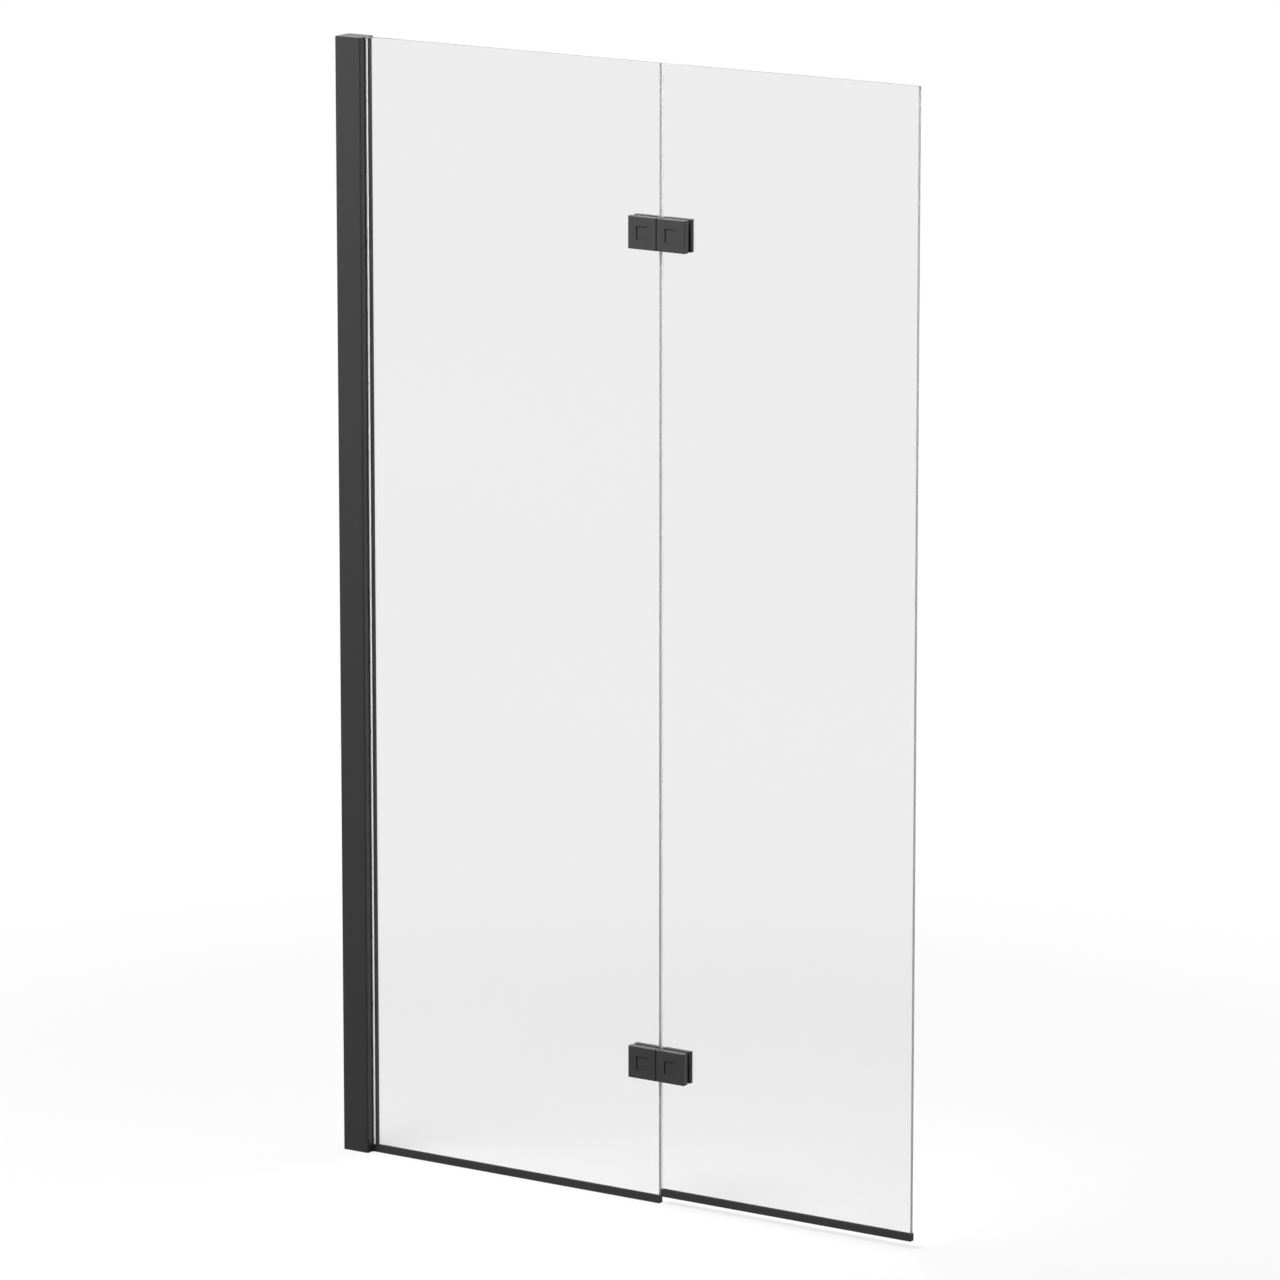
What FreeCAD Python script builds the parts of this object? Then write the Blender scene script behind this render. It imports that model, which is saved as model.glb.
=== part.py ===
import FreeCAD, Part
import math
import os

from FreeCAD import Vector

# Folding bath screen: a wall channel, a frame profile that slides on it with the fixed glass, and a
# second glass panel that folds over the bath on two clamp hinges. Millimetres. X runs out from the
# wall, Y = 0 is the middle of the glass with -Y the room side, and Z = 0 is the rim of the bath.

# Whole screen
screen_width = 850.0
screen_height = 1450.0
fold_line_x = 480.0
panel_gap = 3.0
folding_panel_lift = 9.5

# Toughened glass
glass_thickness = 6.0
glass_arris = 0.5
glass_hole_radius = 7.0

# Frame profile, an aluminium extrusion
profile_width = 38.0
profile_depth = 30.0
profile_wall = 1.8
profile_corner_radius = 2.0
profile_wall_gap = 0.5
pocket_depth = 12.0
glass_bite = 10.0

# Wall channel, the extrusion that is screwed to the wall
channel_wall = 1.8
channel_side_gap = 0.3
channel_tip_gap = 2.2
channel_top_gap = 0.5
wall_screw_hole_radius = 2.75
wall_screw_inset = 80.0
wall_screw_count = 4

# Adjusting screws on the bath side, which hold the profile at its width
adjuster_count = 3
adjuster_inset = 150.0
adjuster_radius = 2.0
adjuster_hole_clearance = 0.1
adjuster_thread_clearance = 0.03
adjuster_slot_clearance = 0.3
adjuster_slot_tip_wall = 3.2
adjuster_head_radius = 3.75
adjuster_head_height = 2.4
adjuster_socket_width = 2.5
adjuster_socket_depth = 1.4
adjuster_tip_length = 0.6
nut_width = 8.0
nut_height = 14.0
nut_thickness = 3.0
nut_flange_gap = 0.3
nut_web_gap = 0.7
screw_cap_wall = 1.0
screw_cap_gap = 0.3
screw_cap_round = 0.8

# Top cap of the profile
cap_thickness = 2.0
cap_leg_length = 12.0
cap_leg_clearance = 0.15
cap_glass_clearance = 0.2

# Glazing gaskets and setting blocks in the pocket
gasket_thickness = 2.0
gasket_back_gap = 0.5
gasket_lip = 0.9
gasket_lip_round = 0.5
milky_gasket_air = 0.05
milky_gasket_recess = 0.1
nib_pitch = 90.3
nib_top_drop = 80.0
nib_height = 2.2
nib_reach = 0.7
nib_thickness = 1.2
setting_block_length = 60.0
setting_block_inset = 200.0
setting_block_count = 3

# Bottom seals
seal_height = 9.5
seal_wall = 0.8
seal_chamber_height = 4.0
seal_end_wall = 0.8

# Hinge places
upper_hinge_drop = 211.0
lower_hinge_rise = 182.0

# Hinge plates
plate_width = 41.0
plate_height = 41.0
plate_gap = 1.0
front_plate_thickness = 9.0
leaf_thickness = 7.0
plate_edge_round = 0.8
pad_thickness = 1.0
pad_inset = 1.0

# Clamp screws, glass sleeves and square cover caps
recess_width = 17.0
recess_depth = 1.4
cover_cap_thickness = 2.0
cover_cap_clearance = 0.1
cover_cap_round = 0.3
clamp_screw_radius = 2.5
clamp_hole_clearance = 0.25
clamp_thread_clearance = 0.03
clamp_head_radius = 4.25
clamp_head_height = 2.6
clamp_head_clearance = 0.3
clamp_head_cap_gap = 0.4
clamp_socket_width = 3.0
clamp_socket_depth = 1.6
leaf_floor = 1.5
clamp_tip_gap = 0.5
sleeve_clearance = 0.3

# Hinge knuckles, pin and bushes
axis_stand_off = 0.6
pin_radius = 3.0
pin_press_clearance = 0.02
pin_running_clearance = 0.05
pin_end_length = 0.5
pin_end_chamfer = 0.4
bush_wall = 1.0
bush_press_clearance = 0.02
bush_flange_thickness = 0.8
bush_flange_inset = 0.3
bush_meeting_gap = 0.3
knuckle_wall = 1.4
knuckle_end_inset = 5.5
middle_knuckle_length = 10.0
knuckle_end_clearance = 0.1
knuckle_notch_clearance = 0.4

# Working allowances
overrun = 5.0
touch = 0.001

# Layers through the glass, from its middle outwards
glass_half = glass_thickness / 2
pocket_half = glass_half + gasket_thickness
pad_outer = glass_half + pad_thickness
front_face_y = -(pad_outer + front_plate_thickness)
leaf_back_y = pad_outer + leaf_thickness
axis_y = leaf_back_y + axis_stand_off

# Places in the profile section
profile_half = profile_depth / 2
room_half = profile_half - profile_wall
chamber_inner = pocket_half + profile_wall
pocket_floor_x = profile_width - pocket_depth
web_x = pocket_floor_x - profile_wall
profile_top = screen_height - cap_thickness
glass_start_x = profile_width - glass_bite
channel_half = room_half - channel_side_gap
channel_reach = web_x - channel_tip_gap
channel_top = profile_top - channel_top_gap
adjuster_x = channel_wall + nut_web_gap + nut_width / 2
adjuster_slot_radius = adjuster_radius + adjuster_slot_clearance
adjust_travel = channel_reach - adjuster_slot_tip_wall - adjuster_slot_radius - adjuster_x

# Round sizes of the hinge, worked outwards from the pin
bush_bore = pin_radius + pin_running_clearance
bush_radius = bush_bore + bush_wall
middle_bore = bush_radius + bush_press_clearance
knuckle_radius = middle_bore + knuckle_wall
middle_half = middle_knuckle_length / 2
outer_start = middle_half + bush_flange_thickness + knuckle_end_clearance
stack_half = plate_height / 2 - knuckle_end_inset
leaf_thread_end_y = leaf_back_y - leaf_floor
cover_cap_back_y = front_face_y + recess_depth + cover_cap_thickness
clamp_head_top_y = cover_cap_back_y + clamp_head_cap_gap
clamp_head_seat_y = clamp_head_top_y + clamp_head_height

hinge_heights = {
    "upper": screen_height - upper_hinge_drop,
    "lower": lower_hinge_rise,
}
sides = {"fixed": -1, "moving": 1}


def block(corner, opposite):
    """A box between two opposite corners, given in any order."""
    low = [min(pair) for pair in zip(corner, opposite)]
    size = [abs(one - other) for one, other in zip(corner, opposite)]
    return Part.makeBox(*size, Vector(*low))


def rod(radius, start, end):
    """A round bar between two points."""
    line = Vector(*end) - Vector(*start)
    return Part.makeCylinder(radius, line.Length, Vector(*start), line)


def hexagon_bar(width_across_flats, start, end):
    """A six-sided bar along Y, for the drive socket of a screw."""
    corner_radius = width_across_flats / math.sqrt(3)
    corners = []
    for corner in range(7):
        angle = corner * math.pi / 3
        x = start[0] + corner_radius * math.cos(angle)
        corners.append(Vector(x, start[1], start[2] + corner_radius * math.sin(angle)))
    return Part.Face(Part.makePolygon(corners)).extrude(Vector(*end) - Vector(*start))


def edges_in_plane(shape, normal, place):
    """The edges of a shape that lie in one plane."""
    found = []
    for edge in shape.Edges:
        places = [vertex.Point.dot(normal) for vertex in edge.Vertexes]
        if all(abs(value - place) < touch for value in places):
            found.append(edge)
    return found


def spread(first, last, count):
    """Evenly spaced places from the first to the last."""
    step = (last - first) / (count - 1)
    return [first + step * number for number in range(count)]


def save(name, shape):
    shape.exportStep(os.path.join("parts", name + ".step"))


adjuster_heights = spread(adjuster_inset, screen_height - adjuster_inset, adjuster_count)


def wall_channel():
    """U-section with screw holes in its back and cross slots in its bath-side flange."""
    channel = block((0, -channel_half, 0), (channel_reach, channel_half, channel_top))
    inner_half = channel_half - channel_wall
    room = block(
        (channel_wall, -inner_half, -overrun),
        (channel_reach + overrun, inner_half, channel_top + overrun),
    )
    channel = channel.cut(room)
    for z in spread(wall_screw_inset, screen_height - wall_screw_inset, wall_screw_count):
        channel = channel.cut(rod(wall_screw_hole_radius, (-overrun, 0, z), (overrun, 0, z)))
    for z in adjuster_heights:
        channel = channel.cut(adjuster_slot(inner_half, z))
    return channel


def adjuster_slot(inner_half, z):
    """The slot that one adjusting screw slides along as the width is set."""
    near_y = inner_half - channel_wall
    far_y = channel_half + channel_wall
    last_x = adjuster_x + adjust_travel
    slot = block(
        (adjuster_x, near_y, z - adjuster_slot_radius),
        (last_x, far_y, z + adjuster_slot_radius),
    )
    for x in (adjuster_x, last_x):
        slot = slot.fuse(rod(adjuster_slot_radius, (x, near_y, z), (x, far_y, z)))
    return slot.removeSplitter()


def profile_bar(low_z, high_z):
    """The outer outline of the profile as a bar, with its two front corners rounded."""
    bar = block((profile_wall_gap, -profile_half, low_z), (profile_width, profile_half, high_z))
    face_edges = edges_in_plane(bar, Vector(1, 0, 0), profile_width)
    corners = [edge for edge in face_edges if edge.BoundBox.YLength < touch]
    return bar.makeFillet(profile_corner_radius, corners)


def chamber(side, inset, low_z, high_z):
    """One of the two closed side chambers of the profile, or a plug that fits it."""
    return block(
        (pocket_floor_x + inset, side * (chamber_inner + inset), low_z),
        (profile_width - profile_wall - inset, side * (room_half - inset), high_z),
    )


def frame_profile():
    """Room for the wall channel behind, a glazing pocket in front, and a chamber on each side of it."""
    low_z = -overrun
    high_z = profile_top + overrun
    profile = profile_bar(0, profile_top)
    profile = profile.cut(block((-overrun, -room_half, low_z), (web_x, room_half, high_z)))
    profile = profile.cut(
        block((pocket_floor_x, -pocket_half, low_z), (profile_width + overrun, pocket_half, high_z))
    )
    for side in (-1, 1):
        profile = profile.cut(chamber(side, 0, low_z, high_z))
    for z in adjuster_heights:
        hole_radius = adjuster_radius + adjuster_hole_clearance
        inside = (adjuster_x, room_half - profile_wall, z)
        profile = profile.cut(rod(hole_radius, inside, (adjuster_x, profile_half + overrun, z)))
    return profile


def profile_top_cap():
    """Plate over the end of the profile, slotted for the glass, with two legs down the side chambers."""
    cap = profile_bar(profile_top, screen_height)
    slot_half = glass_half + cap_glass_clearance
    cap = cap.cut(
        block(
            (glass_start_x - cap_glass_clearance, -slot_half, profile_top - overrun),
            (profile_width + overrun, slot_half, screen_height + overrun),
        )
    )
    for side in (-1, 1):
        cap = cap.fuse(chamber(side, cap_leg_clearance, profile_top - cap_leg_length, profile_top))
    return cap.removeSplitter()


def adjusting_screw(z):
    """Pan-head screw through the profile, the channel's slot and the nut."""
    nut_back_y = channel_half - channel_wall - nut_flange_gap - nut_thickness
    head_top_y = profile_half + adjuster_head_height
    head = rod(adjuster_head_radius, (adjuster_x, profile_half, z), (adjuster_x, head_top_y, z))
    shank = rod(
        adjuster_radius,
        (adjuster_x, profile_half, z),
        (adjuster_x, nut_back_y - adjuster_tip_length, z),
    )
    socket_floor_y = head_top_y - adjuster_socket_depth
    socket = hexagon_bar(
        adjuster_socket_width,
        (adjuster_x, socket_floor_y, z),
        (adjuster_x, head_top_y + overrun, z),
    )
    return head.fuse(shank).cut(socket)


def adjusting_nut(z):
    """Flat plate nut inside the wall channel, which the screw pulls against the flange."""
    front_y = channel_half - channel_wall - nut_flange_gap
    back_y = front_y - nut_thickness
    nut = block(
        (adjuster_x - nut_width / 2, back_y, z - nut_height / 2),
        (adjuster_x + nut_width / 2, front_y, z + nut_height / 2),
    )
    hole_radius = adjuster_radius + adjuster_thread_clearance
    return nut.cut(rod(hole_radius, (adjuster_x, back_y - overrun, z), (adjuster_x, front_y + overrun, z)))


def adjusting_screw_cap(z):
    """Round snap cap that hides the head of one adjusting screw."""
    room_radius = adjuster_head_radius + screw_cap_gap
    room_top_y = profile_half + adjuster_head_height + screw_cap_gap
    top_y = room_top_y + screw_cap_wall
    cap = rod(room_radius + screw_cap_wall, (adjuster_x, profile_half, z), (adjuster_x, top_y, z))
    cap = cap.makeFillet(screw_cap_round, edges_in_plane(cap, Vector(0, 1, 0), top_y))
    return cap.cut(rod(room_radius, (adjuster_x, profile_half - overrun, z), (adjuster_x, room_top_y, z)))


def glazing_gasket(side, air, end_x):
    """Strip between one side of the pocket and the air left at the glass, rounded at its outer end."""
    strip = block(
        (pocket_floor_x + gasket_back_gap, side * (glass_half + air), 0),
        (end_x, side * pocket_half, profile_top),
    )
    end_edges = edges_in_plane(strip, Vector(1, 0, 0), end_x)
    outer = [edge for edge in end_edges if abs(edge.CenterOfMass.y - side * pocket_half) < touch]
    return strip.makeFillet(gasket_lip_round, outer)


def gasket_with_nibs():
    """Room-side gasket: small nibs at an even pitch mark where it is pressed home."""
    lip_x = profile_width + gasket_lip
    gasket = glazing_gasket(-1, 0, lip_x)
    top_z = screen_height - nib_top_drop
    count = math.floor((top_z - seal_height - nib_height) / nib_pitch) + 1
    for number in range(count):
        z = top_z - number * nib_pitch
        nib = block(
            (profile_width, -glass_half, z - nib_height / 2),
            (lip_x + nib_reach, -(glass_half + nib_thickness), z + nib_height / 2),
        )
        gasket = gasket.fuse(nib)
    return gasket.removeSplitter()


def setting_block(z):
    """Hard pad between the edge of the fixed glass and the floor of the pocket."""
    return block(
        (pocket_floor_x, -glass_half, z - setting_block_length / 2),
        (glass_start_x, glass_half, z + setting_block_length / 2),
    )


def glass_panel(start_x, end_x, bottom_z, side):
    """One sheet with ground edges and a hole for each hinge clamp."""
    sheet = block((start_x, -glass_half, bottom_z), (end_x, glass_half, screen_height))
    sheet = sheet.makeChamfer(glass_arris, sheet.Edges)
    for z in hinge_heights.values():
        sheet = sheet.cut(clamp_hole(side, z, glass_hole_radius))
    return sheet


def bottom_seal(start_x, end_x, bottom_z):
    """Push-on strip: a slot that grips the glass above a hollow chamber, closed at its outer end."""
    outer_half = glass_half + seal_wall
    glass_z = bottom_z + seal_chamber_height
    top_z = bottom_z + seal_height
    low_x = start_x - overrun
    high_x = end_x - seal_end_wall
    seal = block((start_x, -outer_half, bottom_z), (end_x, outer_half, top_z))
    seal = seal.cut(block((low_x, -glass_half, glass_z), (high_x, glass_half, top_z + overrun)))
    hollow_floor_z = bottom_z + seal_wall
    return seal.cut(block((low_x, -glass_half, hollow_floor_z), (high_x, glass_half, glass_z - seal_wall)))


def plate_inner_x(side):
    """The edge of a hinge plate that faces the other panel."""
    return fold_line_x + side * plate_gap / 2


def plate_outer_x(side):
    return plate_inner_x(side) + side * plate_width


def plate_middle_x(side):
    return plate_inner_x(side) + side * plate_width / 2


def clamp_hole(side, z, radius):
    """A round bar through the glass and both pads, where a clamp screw passes."""
    x = plate_middle_x(side)
    return rod(radius, (x, -pad_outer - overrun, z), (x, pad_outer + overrun, z))


def square_plate(side, z, near_y, far_y, inset):
    """A hinge plate or pad between two depths, drawn in by the inset on all four edges."""
    half_height = plate_height / 2 - inset
    return block(
        (plate_inner_x(side) + side * inset, near_y, z - half_height),
        (plate_outer_x(side) - side * inset, far_y, z + half_height),
    )


def square_cut(side, z, width, near_y, far_y):
    """A square block centred on a hinge plate."""
    x = plate_middle_x(side)
    half = width / 2
    return block((x - half, near_y, z - half), (x + half, far_y, z + half))


def hinge_front_plate(side, z):
    """Room-side clamp plate with a square recess for its cap and a seat for the screw head below it."""
    x = plate_middle_x(side)
    plate = square_plate(side, z, front_face_y, -pad_outer, 0)
    plate = plate.makeFillet(plate_edge_round, edges_in_plane(plate, Vector(0, 1, 0), front_face_y))
    plate = plate.cut(square_cut(side, z, recess_width, front_face_y - overrun, cover_cap_back_y))
    seat_radius = clamp_head_radius + clamp_head_clearance
    plate = plate.cut(rod(seat_radius, (x, front_face_y, z), (x, clamp_head_seat_y, z)))
    hole_radius = clamp_screw_radius + clamp_hole_clearance
    return plate.cut(rod(hole_radius, (x, front_face_y, z), (x, overrun, z)))


def cover_cap(side, z):
    """Square cap that lies in the recess of a front plate, over the screw."""
    front_y = front_face_y + recess_depth
    cap = square_cut(side, z, recess_width - cover_cap_clearance, front_y, cover_cap_back_y)
    return cap.makeFillet(cover_cap_round, edges_in_plane(cap, Vector(0, 1, 0), front_y))


def clamp_screw(side, z):
    """Socket screw that pulls the front plate to the leaf through the hole in the glass."""
    x = plate_middle_x(side)
    head = rod(clamp_head_radius, (x, clamp_head_top_y, z), (x, clamp_head_seat_y, z))
    shank = rod(clamp_screw_radius, (x, clamp_head_seat_y, z), (x, leaf_thread_end_y - clamp_tip_gap, z))
    socket = hexagon_bar(
        clamp_socket_width,
        (x, clamp_head_top_y - overrun, z),
        (x, clamp_head_top_y + clamp_socket_depth, z),
    )
    return head.fuse(shank).cut(socket)


def glass_sleeve(side, z):
    """Nylon tube that keeps the screw off the edge of the hole in the glass."""
    x = plate_middle_x(side)
    sleeve = rod(glass_hole_radius - sleeve_clearance, (x, -pad_outer, z), (x, pad_outer, z))
    return sleeve.cut(clamp_hole(side, z, clamp_screw_radius + clamp_hole_clearance))


def gasket_pads(side, z):
    """The two thin pads between the glass and the metal of one clamp."""
    pads = []
    for face in (-1, 1):
        pad = square_plate(side, z, face * glass_half, face * pad_outer, pad_inset)
        pads.append(pad.cut(clamp_hole(side, z, glass_hole_radius)))
    return Part.makeCompound(pads)


def axis_rod(radius, low_z, high_z):
    """A round bar on the fold line."""
    return rod(radius, (fold_line_x, axis_y, low_z), (fold_line_x, axis_y, high_z))


def leaf_plate(side, z):
    """Bath-side clamp plate with a blind threaded hole for the clamp screw."""
    x = plate_middle_x(side)
    plate = square_plate(side, z, pad_outer, leaf_back_y, 0)
    plate = plate.makeFillet(plate_edge_round, edges_in_plane(plate, Vector(0, 1, 0), leaf_back_y))
    thread_radius = clamp_screw_radius + clamp_thread_clearance
    return plate.cut(rod(thread_radius, (x, -overrun, z), (x, leaf_thread_end_y, z)))


def fixed_leaf(z):
    """Leaf on the fixed glass, with the two outer knuckles that hold the pin."""
    leaf = leaf_plate(sides["fixed"], z)
    notch_radius = knuckle_radius + knuckle_notch_clearance
    leaf = leaf.cut(axis_rod(notch_radius, z - outer_start, z + outer_start))
    for end in (-1, 1):
        leaf = leaf.fuse(axis_rod(knuckle_radius, z + end * outer_start, z + end * stack_half))
    leaf = leaf.cut(axis_rod(pin_radius + pin_press_clearance, z - plate_height, z + plate_height))
    return leaf.removeSplitter()


def moving_leaf(z):
    """Leaf on the folding glass, with the middle knuckle that turns on the pin."""
    leaf = leaf_plate(sides["moving"], z)
    notch_radius = knuckle_radius + knuckle_notch_clearance
    notch_end = stack_half + knuckle_notch_clearance
    for end in (-1, 1):
        leaf = leaf.cut(axis_rod(notch_radius, z + end * middle_half, z + end * notch_end))
    leaf = leaf.fuse(axis_rod(knuckle_radius, z - middle_half, z + middle_half))
    leaf = leaf.cut(axis_rod(middle_bore, z - plate_height, z + plate_height))
    return leaf.removeSplitter()


def hinge_pin(z):
    """Steel pin through all three knuckles."""
    reach = stack_half + pin_end_length
    pin = axis_rod(pin_radius, z - reach, z + reach)
    ends = edges_in_plane(pin, Vector(0, 0, 1), z - reach) + edges_in_plane(pin, Vector(0, 0, 1), z + reach)
    return pin.makeChamfer(pin_end_chamfer, ends)


def hinge_bushes(z):
    """Two flanged nylon bushes in the middle knuckle, one from each end."""
    bushes = []
    for end in (-1, 1):
        flange_end = z + end * (middle_half + bush_flange_thickness)
        flange = axis_rod(knuckle_radius - bush_flange_inset, z + end * middle_half, flange_end)
        tube = axis_rod(bush_radius, z + end * bush_meeting_gap / 2, z + end * middle_half)
        bush = flange.fuse(tube).cut(axis_rod(bush_bore, z - plate_height, z + plate_height))
        bushes.append(bush.removeSplitter())
    return Part.makeCompound(bushes)


def save_wall_side():
    save("wall_channel", wall_channel())
    save("frame_profile", frame_profile())
    save("profile_top_cap", profile_top_cap())
    save("adjusting_screws", Part.makeCompound([adjusting_screw(z) for z in adjuster_heights]))
    save("adjusting_nuts", Part.makeCompound([adjusting_nut(z) for z in adjuster_heights]))
    save("adjusting_screw_caps", Part.makeCompound([adjusting_screw_cap(z) for z in adjuster_heights]))
    save("glazing_gasket_front", gasket_with_nibs())
    save("glazing_gasket_back", glazing_gasket(1, milky_gasket_air, profile_width - milky_gasket_recess))
    block_heights = spread(setting_block_inset, screen_height - setting_block_inset, setting_block_count)
    save("glass_setting_blocks", Part.makeCompound([setting_block(z) for z in block_heights]))


def save_panels():
    fixed_end_x = fold_line_x - panel_gap / 2
    folding_start_x = fold_line_x + panel_gap / 2
    seal_start_x = profile_width + gasket_lip
    folding_glass_z = folding_panel_lift + seal_chamber_height
    save("fixed_glass", glass_panel(glass_start_x, fixed_end_x, seal_chamber_height, sides["fixed"]))
    folding_end_x = screen_width - seal_end_wall
    save("folding_glass", glass_panel(folding_start_x, folding_end_x, folding_glass_z, sides["moving"]))
    save("fixed_bottom_seal", bottom_seal(seal_start_x, fixed_end_x + seal_end_wall, 0))
    save("folding_bottom_seal", bottom_seal(folding_start_x, screen_width, folding_panel_lift))


def save_hinge(place, z):
    save(place + "_hinge_fixed_leaf", fixed_leaf(z))
    save(place + "_hinge_moving_leaf", moving_leaf(z))
    save(place + "_hinge_pin", hinge_pin(z))
    save(place + "_hinge_bushes", hinge_bushes(z))
    for name, side in sides.items():
        stem = place + "_hinge_" + name
        save(stem + "_front_plate", hinge_front_plate(side, z))
        save(stem + "_cover_cap", cover_cap(side, z))
        save(stem + "_clamp_screw", clamp_screw(side, z))
        save(stem + "_glass_sleeve", glass_sleeve(side, z))
        save(stem + "_gasket_pads", gasket_pads(side, z))


os.makedirs("parts", exist_ok=True)
save_wall_side()
save_panels()
for hinge_place, hinge_z in hinge_heights.items():
    save_hinge(hinge_place, hinge_z)
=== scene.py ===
import math

import bpy
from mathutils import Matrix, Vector


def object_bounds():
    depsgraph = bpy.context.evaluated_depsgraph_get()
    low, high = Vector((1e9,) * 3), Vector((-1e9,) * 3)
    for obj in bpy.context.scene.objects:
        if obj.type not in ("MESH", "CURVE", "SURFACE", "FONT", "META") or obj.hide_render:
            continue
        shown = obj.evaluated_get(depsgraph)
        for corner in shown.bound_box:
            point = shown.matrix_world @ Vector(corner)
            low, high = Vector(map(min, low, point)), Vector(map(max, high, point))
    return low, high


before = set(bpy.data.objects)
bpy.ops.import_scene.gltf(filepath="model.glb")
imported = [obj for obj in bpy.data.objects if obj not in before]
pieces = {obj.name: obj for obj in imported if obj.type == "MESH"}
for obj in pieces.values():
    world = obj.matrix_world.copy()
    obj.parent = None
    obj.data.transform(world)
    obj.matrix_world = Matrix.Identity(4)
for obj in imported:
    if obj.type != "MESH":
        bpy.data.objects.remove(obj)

cad_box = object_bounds()


# Wall channel: a U-shaped bar of extruded aluminium, left bright as it comes from the die.
# It is screwed to the wall first, and the frame profile then slides over it.
class Shade:
    """A socket of a finish. Sums on it add Math nodes, and node() adds a node of any other type."""

    def __init__(self, tree, socket=None):
        self.tree = tree
        self.socket = socket

    def node(self, kind, sockets, out=0, **settings):
        """Adds a node, sets it, fills its sockets and gives back the output that is asked for, if any."""
        made = self.tree.nodes.new(kind)
        for name, value in settings.items():
            setattr(made, name, value)
        for name, value in sockets.items():
            if isinstance(value, Shade):
                self.tree.links.new(value.socket, made.inputs[name])
            else:
                made.inputs[name].default_value = value
        return Shade(self.tree, made.outputs[out]) if made.outputs else None

    def __add__(self, other):
        return self.node("ShaderNodeMath", {0: self, 1: other}, operation="ADD")

    def __mul__(self, other):
        return self.node("ShaderNodeMath", {0: self, 1: other}, operation="MULTIPLY")

    __radd__ = __add__
    __rmul__ = __mul__


def grain(paint, stretch, detail=2.0):
    """Noise from 0 to 1 that rides with its piece. stretch gives the grains in a metre along X, Y and Z."""
    place = paint.node("ShaderNodeTexCoord", {}, out="Object")
    place = paint.node("ShaderNodeVectorMath", {0: place, 1: stretch}, operation="MULTIPLY")
    return paint.node("ShaderNodeTexNoise", {"Vector": place, "Scale": 1.0, "Detail": detail}, out="Fac")


def blend_of(paint, share, first, second):
    """A colour that goes from first to second as share goes from 0 to 1."""
    # A Mix node takes its two colours at sockets 6 and 7, and gives the mixed one at output 2.
    sockets = {0: share, 6: (*first, 1), 7: (*second, 1)}
    return paint.node("ShaderNodeMix", sockets, out=2, data_type="RGBA")


def relief(paint, height, depth):
    """The normal of a surface whose height from 0 to 1 stands for that depth in metres."""
    return paint.node("ShaderNodeBump", {"Strength": 1.0, "Distance": depth, "Height": height})


def make_finish(name, surface):
    """A material with the shader that surface(paint) builds."""
    material = bpy.data.materials.new(name)
    material.use_nodes = True
    material.node_tree.nodes.clear()
    paint = Shade(material.node_tree)
    paint.node("ShaderNodeOutputMaterial", {"Surface": surface(paint)})
    return material


def dress(material, *names):
    """Gives these pieces one finish all over."""
    for name in names:
        pieces[name].data.materials.clear()
        pieces[name].data.materials.append(material)


dull_aluminium = (0.50, 0.51, 0.52)
bright_aluminium = (0.64, 0.65, 0.66)


def mill_aluminium(paint):
    die_lines = grain(paint, (1400, 1400, 5))
    clouding = grain(paint, (40, 40, 12))
    return paint.node("ShaderNodeBsdfPrincipled", {
        "Base Color": blend_of(paint, clouding, dull_aluminium, bright_aluminium),
        "Metallic": 1.0,
        "Roughness": 0.28 + 0.22 * die_lines,
        "Normal": relief(paint, die_lines, depth=0.00002),
    })


dress(make_finish("mill aluminium", mill_aluminium), "wall_channel")


# Frame profile: an aluminium extrusion with a deep pocket for the glass, powder coated satin black.
# The baked powder flows into a fine orange peel and is a touch thinner and paler in places.
def grey(value):
    return (value, value, value)


def powder_coat(thin, thick):
    """Black powder, with its grey where it baked thin and where it baked thick."""
    def surface(paint):
        orange_peel = grain(paint, (900, 900, 900))
        flow = grain(paint, (30, 30, 14))
        return paint.node("ShaderNodeBsdfPrincipled", {
            "Base Color": blend_of(paint, flow, grey(thin), grey(thick)),
            "Roughness": 0.26 + 0.10 * orange_peel,
            "Specular IOR Level": 0.3,
            "Normal": relief(paint, orange_peel, depth=0.000012),
        })
    return surface


profile_coat = make_finish("black powder coat on aluminium", powder_coat(thin=0.041, thick=0.034))
dress(profile_coat, "frame_profile")


# Top cap and screw caps: black nylon mouldings with the fine spark texture of the mould.
# The top cap plugs the open end of the profile, and the screw caps snap over the adjusting screws.
moulded_black = grey(0.024)
sunken_black = grey(0.030)


def black_plastic(paint):
    spark_texture = grain(paint, (2600, 2600, 2600), detail=3.0)
    sink = grain(paint, (120, 120, 120))
    return paint.node("ShaderNodeBsdfPrincipled", {
        "Base Color": blend_of(paint, sink, moulded_black, sunken_black),
        "Roughness": 0.26 + 0.12 * spark_texture,
        "Normal": relief(paint, spark_texture, depth=0.000008),
    })


dress(make_finish("black moulded plastic", black_plastic), "profile_top_cap", "adjusting_screw_caps")


# Adjusting screws and nuts: turned stainless steel, three of each down the bath side of the profile.
# They clamp the profile to the wall channel once the screen stands plumb.
clouded_steel = (0.52, 0.51, 0.50)
bright_steel = (0.64, 0.63, 0.61)
screw_marks = (150, 5200, 150)


def turned_steel(tool_marks):
    """Bright steel with the rings of a lathe. tool_marks is how many a metre holds along X, Y and Z."""
    def surface(paint):
        rings = grain(paint, tool_marks)
        clouding = grain(paint, (300, 300, 300))
        return paint.node("ShaderNodeBsdfPrincipled", {
            "Base Color": blend_of(paint, clouding, clouded_steel, bright_steel),
            "Metallic": 1.0,
            "Roughness": 0.18 + 0.20 * rings,
            "Normal": relief(paint, rings, depth=0.000006),
        })
    return surface


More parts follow.
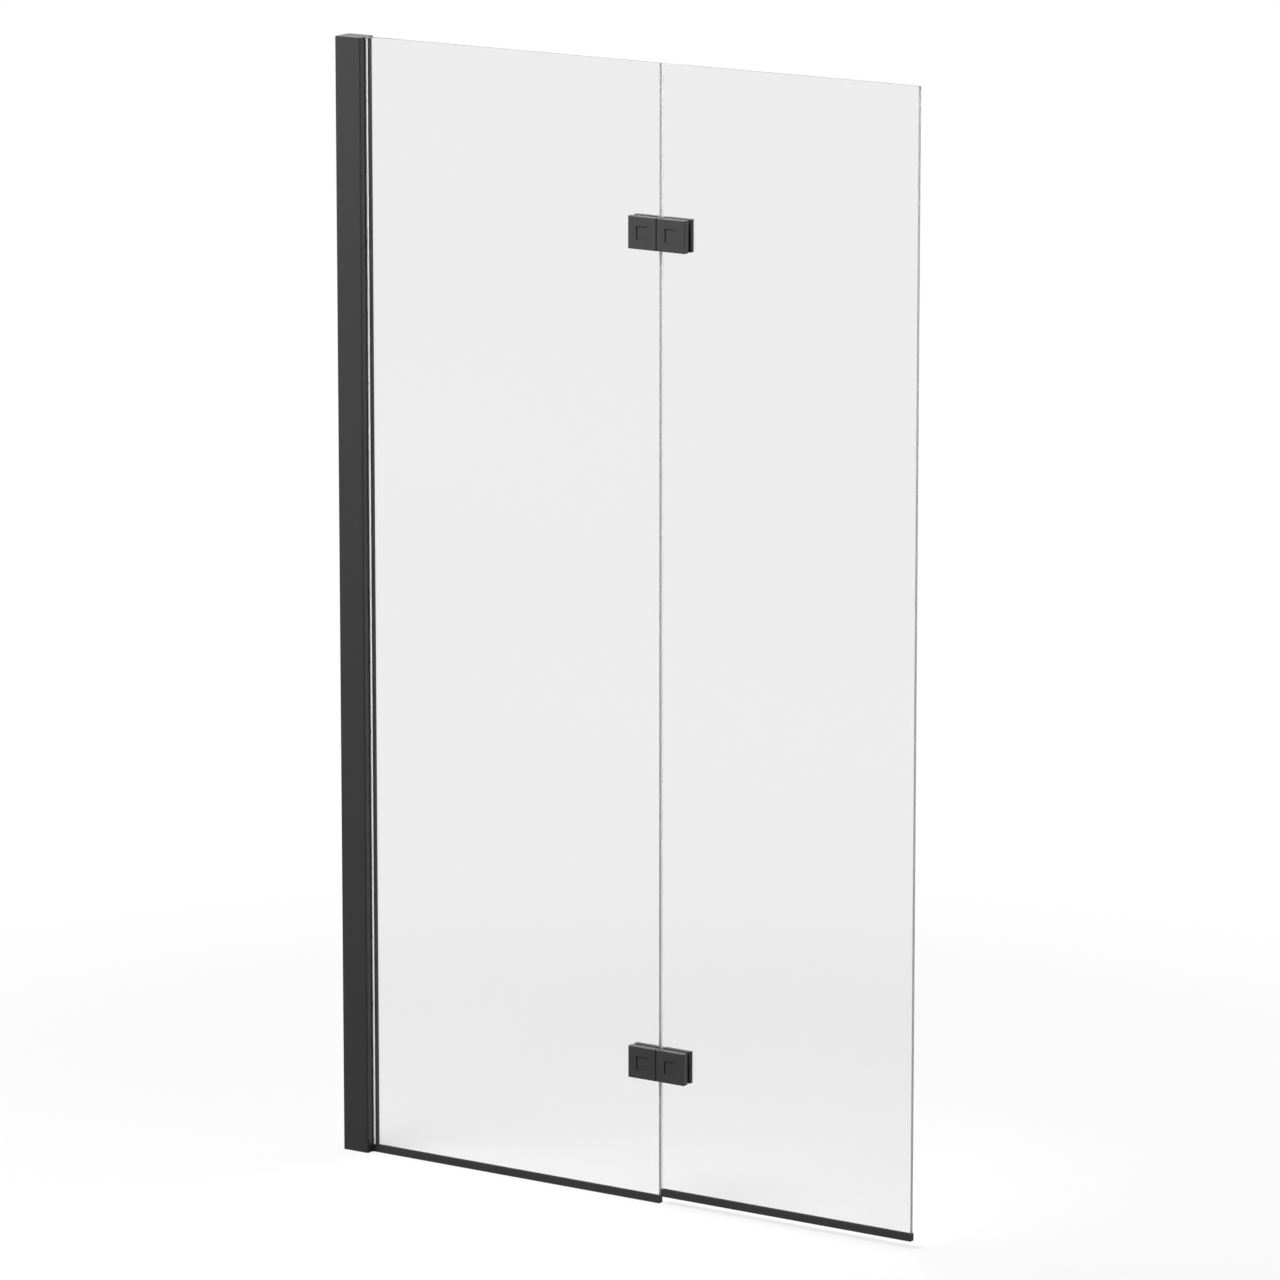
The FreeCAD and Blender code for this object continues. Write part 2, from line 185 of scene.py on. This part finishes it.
screw_steel = make_finish("turned stainless steel screw", turned_steel(screw_marks))
dress(screw_steel, "adjusting_screws", "adjusting_nuts")


# Setting blocks: small pads of white nylon that keep the glass edge off the metal in the pocket.
# They are cut from strip, so they are plain, a little waxy and let some light in.
warm_white = (0.74, 0.73, 0.70)
clean_white = (0.82, 0.81, 0.78)
light_depth = 0.002


def white_nylon(paint):
    saw_marks = grain(paint, (1800, 400, 400))
    clouding = grain(paint, (250, 250, 250))
    return paint.node("ShaderNodeBsdfPrincipled", {
        "Base Color": blend_of(paint, clouding, warm_white, clean_white),
        "Roughness": 0.40 + 0.18 * saw_marks,
        "Subsurface Weight": 0.25,
        "Subsurface Radius": (1, 1, 1),
        "Subsurface Scale": light_depth,
        "Normal": relief(paint, saw_marks, depth=0.000015),
    })


nylon = make_finish("white nylon", white_nylon)
dress(nylon, "glass_setting_blocks")


# Glazing gaskets: two long strips pushed in beside the glass, which grip it in the pocket.
# The room side is black rubber with a fine skin, the bath side milky soft PVC with lines from the die.
rubber_black = grey(0.022)
bloomed_black = grey(0.028)
milky_white = grey(0.84)
pale_white = grey(0.90)


def black_seal(paint):
    skin = grain(paint, (1600, 1600, 1600))
    bloom = grain(paint, (60, 60, 60))
    return paint.node("ShaderNodeBsdfPrincipled", {
        "Base Color": blend_of(paint, bloom, rubber_black, bloomed_black),
        "Roughness": 0.40 + 0.14 * skin,
        "Normal": relief(paint, skin, depth=0.00001),
    })


def milky_seal(paint):
    die_lines = grain(paint, (1500, 1500, 8))
    clouding = grain(paint, (90, 90, 20))
    return paint.node("ShaderNodeBsdfPrincipled", {
        "Base Color": blend_of(paint, clouding, milky_white, pale_white),
        "Roughness": 0.32 + 0.14 * die_lines,
        "Normal": relief(paint, die_lines, depth=0.00001),
    })


black_rubber = make_finish("black rubber seal", black_seal)
dress(black_rubber, "glazing_gasket_front")
dress(make_finish("milky soft seal", milky_seal), "glazing_gasket_back")


# Glass: two sheets of 6 mm toughened glass, the fixed one held in the profile and the folding one
# hung from the hinges. The oven rollers leave faint waves, and every edge is ground and satin polished.
glass_bending = 1.5
deep_tint = grey(0.856)
faint_tint = grey(0.871)
lamp_light_passed = grey(0.94)
ground_white = (0.90, 0.91, 0.91)
polished_white = (0.96, 0.97, 0.97)
broad_face_share = 0.95


def toughened_glass(paint):
    roller_wave = grain(paint, (0.8, 0.8, 3.6), detail=0.0)
    clear = paint.node("ShaderNodeBsdfPrincipled", {
        "Base Color": blend_of(paint, roller_wave, deep_tint, faint_tint),
        "Roughness": 0.0,
        "IOR": glass_bending,
        "Transmission Weight": 1.0,
        "Normal": relief(paint, roller_wave, depth=0.0002),
    })
    lamp_ray = paint.node("ShaderNodeLightPath", {}, out="Is Shadow Ray")
    passing = paint.node("ShaderNodeBsdfTransparent", {"Color": (*lamp_light_passed, 1)})
    return paint.node("ShaderNodeMixShader", {0: lamp_ray, 1: clear, 2: passing})


def ground_edge(paint):
    wheel_marks = grain(paint, (1200, 1200, 1200))
    bands = grain(paint, (25, 25, 25))
    return paint.node("ShaderNodeBsdfPrincipled", {
        "Base Color": blend_of(paint, bands, ground_white, polished_white),
        "Roughness": 0.52 + 0.20 * wheel_marks,
        "IOR": glass_bending,
        "Transmission Weight": 0.92,
        "Normal": relief(paint, wheel_marks, depth=0.000008),
    })


clear_glass = make_finish("clear toughened glass", toughened_glass)
satin_edge = make_finish("ground glass edge", ground_edge)
for name in ("fixed_glass", "folding_glass"):
    dress(clear_glass, name)
    sheet = pieces[name].data
    sheet.materials.append(satin_edge)
    for face in sheet.polygons:
        face.material_index = int(abs(face.normal.y) < broad_face_share)


# Bottom seals: black rubber strips under the two sheets, pushed on along the whole lower edge.
# They close the gap to the bath rim, and the folding one clears the fixed one by its own height.
dress(black_rubber, "fixed_bottom_seal", "folding_bottom_seal")


# Hinges: cast zinc leaves, front plates and cover caps, powder coated black; painted light makes them a
# shade lighter.
# A leaf and a plate clamp each sheet between rubber pads, with a nylon sleeve through the glass.
hinges = ("upper_hinge", "lower_hinge")
# A copy of the profile's powder coat with lighter greys: painted light for the brighter light on the
# hinges.
hinge_coat_painted_lighter = make_finish("black powder coat on zinc, painted lighter", powder_coat(thin=0.053, thick=0.047))
for hinge in hinges:
    for side in ("fixed", "moving"):
        half = f"{hinge}_{side}"
        dress(hinge_coat_painted_lighter, f"{half}_leaf", f"{half}_front_plate", f"{half}_cover_cap")
        dress(black_rubber, f"{half}_gasket_pads")
        dress(nylon, f"{half}_glass_sleeve")
        dress(screw_steel, f"{half}_clamp_screw")


# Hinge pins and bushes: a turned stainless pin runs through the knuckles of each hinge.
# It is pressed into the fixed leaf, and the moving leaf turns on two flanged nylon bushes.
pin_marks = (150, 150, 5200)
pin_steel = make_finish("turned stainless steel pin", turned_steel(pin_marks))
for hinge in hinges:
    dress(pin_steel, f"{hinge}_pin")
    dress(nylon, f"{hinge}_bushes")


# Studio floor: a plain pale sheet at the height of the bath rim, on which the screen stands.
# It keeps a soft shadow round the foot, runs out to plain white, and throws little light back up.
floor_reach = 60.0
floor_drop = 0.0003
shadow_reach = 0.6
white_from = 1.8
foot_white_share = 0.7
paper_shedding = grey(0.20)
paper_seen = grey(0.79)
plain_white = (1, 1, 1, 1)


def rise(paint, value, start, end, low=0.0):
    """A share that goes smoothly from low to 1 as value goes from start to end."""
    sockets = {"Value": value, "From Min": start, "From Max": end, "To Min": low, "To Max": 1.0}
    return paint.node("ShaderNodeMapRange", sockets, interpolation_type="SMOOTHSTEP")


def seen(paint):
    """1 for what is seen straight or through the glass, and 0 for what only sheds light."""
    straight = paint.node("ShaderNodeLightPath", {}, out="Is Camera Ray")
    return straight + paint.node("ShaderNodeLightPath", {}, out="Is Transmission Ray")


def pale_floor(paint):
    place = paint.node("ShaderNodeTexCoord", {}, out="Object")
    away = paint.node("ShaderNodeVectorMath", {0: place}, out="Value", operation="LENGTH")
    white_share = rise(paint, away, shadow_reach, white_from, low=foot_white_share)
    to_eye = seen(paint)
    speckle = grain(paint, (14, 14, 14))
    paper = paint.node("ShaderNodeBsdfPrincipled", {
        "Base Color": blend_of(paint, to_eye, paper_shedding, paper_seen),
        "Roughness": 0.85 + 0.05 * speckle,
        "Specular IOR Level": 0.1,
    })
    white = paint.node("ShaderNodeEmission", {"Color": plain_white, "Strength": 1.0})
    return paint.node("ShaderNodeMixShader", {0: white_share * to_eye, 1: paper, 2: white})


corners = [(x * floor_reach, y * floor_reach, 0) for x, y in ((-1, -1), (1, -1), (1, 1), (-1, 1))]
floor_sheet = bpy.data.meshes.new("studio floor")
floor_sheet.from_pydata(corners, [], [(0, 1, 2, 3)])
floor_sheet.materials.append(make_finish("pale floor", pale_floor))
floor = bpy.data.objects.new("studio_floor", floor_sheet)
floor.location = ((cad_box[0].x + cad_box[1].x) / 2, 0, cad_box[0].z - floor_drop)
floor.visible_glossy = False
bpy.context.scene.collection.objects.link(floor)


# Studio room: plain white where it is seen straight or through the glass, with a low, even light.
# In a shiny surface it is white behind the screen and on the wall side, and dark towards the open side.
room_light = 0.25
white_side = (-0.87, 0.50, 0)
dark_until = -0.55
white_after = 0.85
studio = bpy.data.worlds.new("soft white room")
studio.use_nodes = True
studio.node_tree.nodes.clear()
room = Shade(studio.node_tree)
glow = room.node("ShaderNodeBackground", {"Color": plain_white, "Strength": room_light})
white_wall = room.node("ShaderNodeBackground", {"Color": plain_white, "Strength": 1.0})
way = room.node("ShaderNodeTexCoord", {}, out="Generated")
to_white = room.node("ShaderNodeVectorMath", {0: way, 1: white_side}, out="Value", operation="DOT_PRODUCT")
mirrored = room.node("ShaderNodeLightPath", {}, out="Is Glossy Ray")
white_share = seen(room) + mirrored * rise(room, to_white, dark_until, white_after)
lit_room = room.node("ShaderNodeMixShader", {0: white_share, 1: glow, 2: white_wall})
room.node("ShaderNodeOutputWorld", {"Surface": lit_room})
bpy.context.scene.world = studio
bpy.context.scene.view_settings.view_transform = "Standard"


# Studio lamps: a large soft box in front above the wall side, one overhead for the floor, and a weaker
# one behind for the bath side. A strip lamp lights only the milky gasket, which the profile shades.
def soft_box(name, place, aim, width, height, power):
    """A lamp that sheds light but isn't seen itself, straight or through the glass."""
    lamp = bpy.data.lights.new(name, "AREA")
    lamp.shape = "RECTANGLE"
    lamp.size = width
    lamp.size_y = height
    lamp.energy = power
    box = bpy.data.objects.new(name, lamp)
    box.location = place
    box.rotation_euler = (Vector(aim) - Vector(place)).to_track_quat("-Z", "Y").to_euler()
    box.visible_camera = False
    box.visible_transmission = False
    bpy.context.scene.collection.objects.link(box)
    return box


soft_box("front_soft_box", place=(-0.35, -1.4, 2.7), aim=(0.3, 0, 0.8), width=1.8, height=1.0, power=84)
soft_box("overhead_soft_box", place=(0.4, 0.4, 4.2), aim=(0.4, 0.4, 0), width=3.0, height=3.0, power=20)
soft_box("back_soft_box", place=(1.6, 2.6, 1.9), aim=(0.4, 0, 0.8), width=1.6, height=1.6, power=25)
strip_place = (2.2, -1.4, 0.75)
strip_aim = (0.04, 0, 0.75)
strip_lamp = soft_box("gasket_strip_lamp", strip_place, strip_aim, width=0.4, height=2.0, power=90)
strip_lamp.light_linking.receiver_collection = bpy.data.collections.new("lit by the strip lamp")
strip_lamp.light_linking.receiver_collection.objects.link(pieces["glazing_gasket_back"])


# Camera: a long lens a little above the screen and to its open side, so that uprights stay nearly so.
# It looks at the middle of the screen from about ten metres.
camera_lens = 219.4
camera_turn = math.radians(33.13)
camera_rise = math.radians(12.10)
camera_distance = 9.724
camera_aim = Vector((0.4479, 0, 0.7236))
camera_sight = 200.0
towards_camera = Vector((
    math.sin(camera_turn) * math.cos(camera_rise),
    -math.cos(camera_turn) * math.cos(camera_rise),
    math.sin(camera_rise),
))
lens = bpy.data.cameras.new("long lens")
lens.lens = camera_lens
lens.clip_end = camera_sight
camera = bpy.data.objects.new("camera", lens)
camera.location = camera_aim + camera_distance * towards_camera
camera.rotation_euler = (-towards_camera).to_track_quat("-Z", "Y").to_euler()
bpy.context.scene.collection.objects.link(camera)
bpy.context.scene.camera = camera
